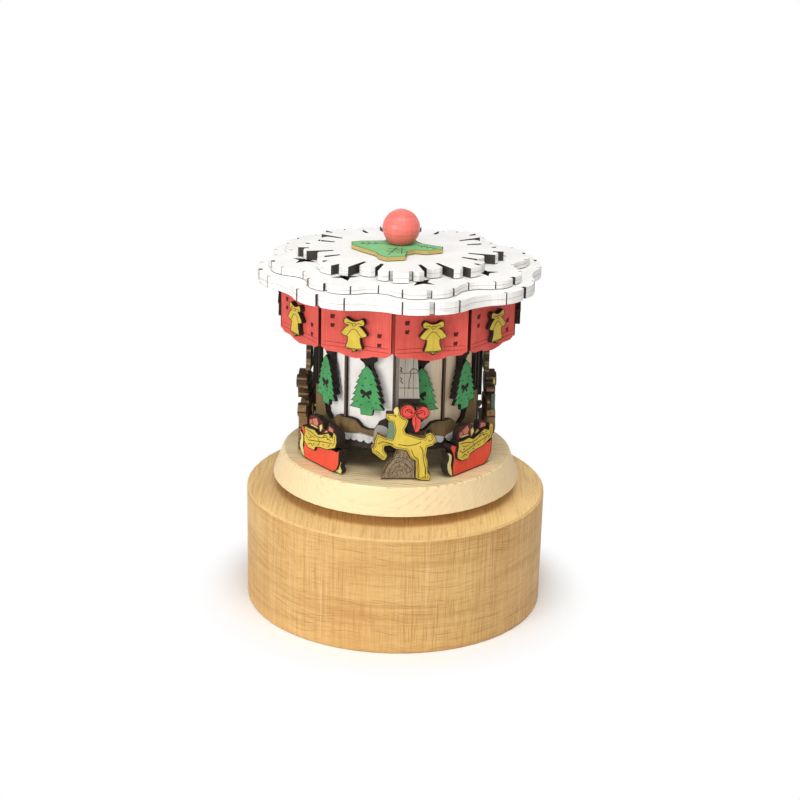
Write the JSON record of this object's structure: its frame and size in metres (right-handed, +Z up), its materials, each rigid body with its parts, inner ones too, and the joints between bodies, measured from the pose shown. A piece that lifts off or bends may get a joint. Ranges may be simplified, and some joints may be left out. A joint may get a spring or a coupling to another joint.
{
  "type": "music box",
  "caption": "Wind-up wooden music box: a turned drum holds the movement, and a turntable on it carries a Christmas carousel of layered painted plywood.",
  "frame": {"origin": "centre of the drum's flat bottom, on the turntable's axis", "axes": "+Z up along the turntable's axis; the picture is taken from -Y, looking along +Y, with +X to the right"},
  "size_m": [0.11, 0.11, 0.1461],
  "materials": {
    "beech": "turned and sanded beech, thin clear oil",
    "pale_wood": "sanded pale softwood, uncoated",
    "plywood": "laser-cut plywood, uncoated",
    "charred_plywood": "laser-charred plywood, matt",
    "brown_plywood": "brown-stained plywood, matt",
    "white_plywood": "plywood with matt white paint",
    "red_plywood": "plywood with matt red paint",
    "gold_plywood": "plywood with ochre gold paint",
    "green_plywood": "plywood with matt green paint",
    "red_ball": "turned wooden ball with satin red paint",
    "blued_steel": "plain steel",
    "zinc_casting": "zinc alloy pressure casting",
    "brass": "turned brass"
  },
  "bodies": {
    "drum": {"base_drum": "beech", "bottom_cover": "plywood", "movement_bedplate": "zinc_casting", "bedplate_screw_left": "blued_steel", "bedplate_screw_right": "blued_steel", "spring_housing": "brass", "mainspring": "blued_steel", "comb": "blued_steel", "comb_screw_left": "blued_steel", "comb_screw_right": "blued_steel", "governor_frame": "zinc_casting", "shaft_bushing": "brass"},
    "turntable": {"winding_arbor": "blued_steel", "crown_wheel": "brass", "hub_flange": "zinc_casting", "hub_screw_left": "blued_steel", "hub_screw_right": "blued_steel", "turntable_disc": "pale_wood", "pavilion_pillar": "plywood", "floor_plate": "charred_plywood", "wall_panels": "white_plywood", "hills_and_poles": "brown_plywood", "fir_tree_01": "green_plywood", "fir_tree_02": "green_plywood", "fir_tree_03": "green_plywood", "fir_tree_04": "green_plywood", "fir_tree_05": "green_plywood", "fir_tree_06": "green_plywood", "fir_tree_07": "green_plywood", "fir_tree_08": "green_plywood", "fir_tree_09": "green_plywood", "fir_tree_10": "green_plywood", "valance_panels": "red_plywood", "bell_01": "gold_plywood", "bell_02": "gold_plywood", "bell_03": "gold_plywood", "bell_04": "gold_plywood", "bell_05": "gold_plywood", "bell_06": "gold_plywood", "bell_07": "gold_plywood", "bell_08": "gold_plywood", "bell_09": "gold_plywood", "bell_10": "gold_plywood", "deer_front": "gold_plywood", "deer_right": "gold_plywood", "deer_back": "gold_plywood", "deer_left": "gold_plywood", "sleigh_front_right": "red_plywood", "sleigh_back_right": "red_plywood", "sleigh_back_left": "red_plywood", "sleigh_front_left": "red_plywood", "lower_roof_sheet": "white_plywood", "upper_roof_sheet": "white_plywood", "snowflake_plate": "white_plywood", "holly_plate": "green_plywood", "finial_ball": "red_ball"},
    "cylinder": {"pin_cylinder": "brass", "cylinder_gear": "brass"},
    "governor": {"governor_wheel": "brass"},
    "worm": {"governor_worm": "blued_steel"}
  },
  "joints": [
    {"name": "turntable_spin", "type": "hinge", "parent": "drum", "child": "turntable", "pos_m": [0, 0, 0.0477], "axis": [0, 0, 1], "continuous": true},
    {"name": "cylinder_spin", "type": "hinge", "parent": "drum", "child": "cylinder", "pos_m": [0.0144, 0, 0.0249], "axis": [1, 0, 0], "continuous": true},
    {"name": "governor_spin", "type": "hinge", "parent": "drum", "child": "governor", "pos_m": [0.03544, 0.0072, 0.0249], "axis": [1, 0, 0], "continuous": true},
    {"name": "worm_spin", "type": "hinge", "parent": "drum", "child": "worm", "pos_m": [0.03604, 0.0072, 0.0197], "axis": [0, 1, 0], "continuous": true}
  ],
  "couplings": [
    {"joint": "cylinder_spin", "follows": "turntable_spin", "ratio": 2},
    {"joint": "governor_spin", "follows": "turntable_spin", "ratio": -6},
    {"joint": "worm_spin", "follows": "turntable_spin", "ratio": 96}
  ]
}
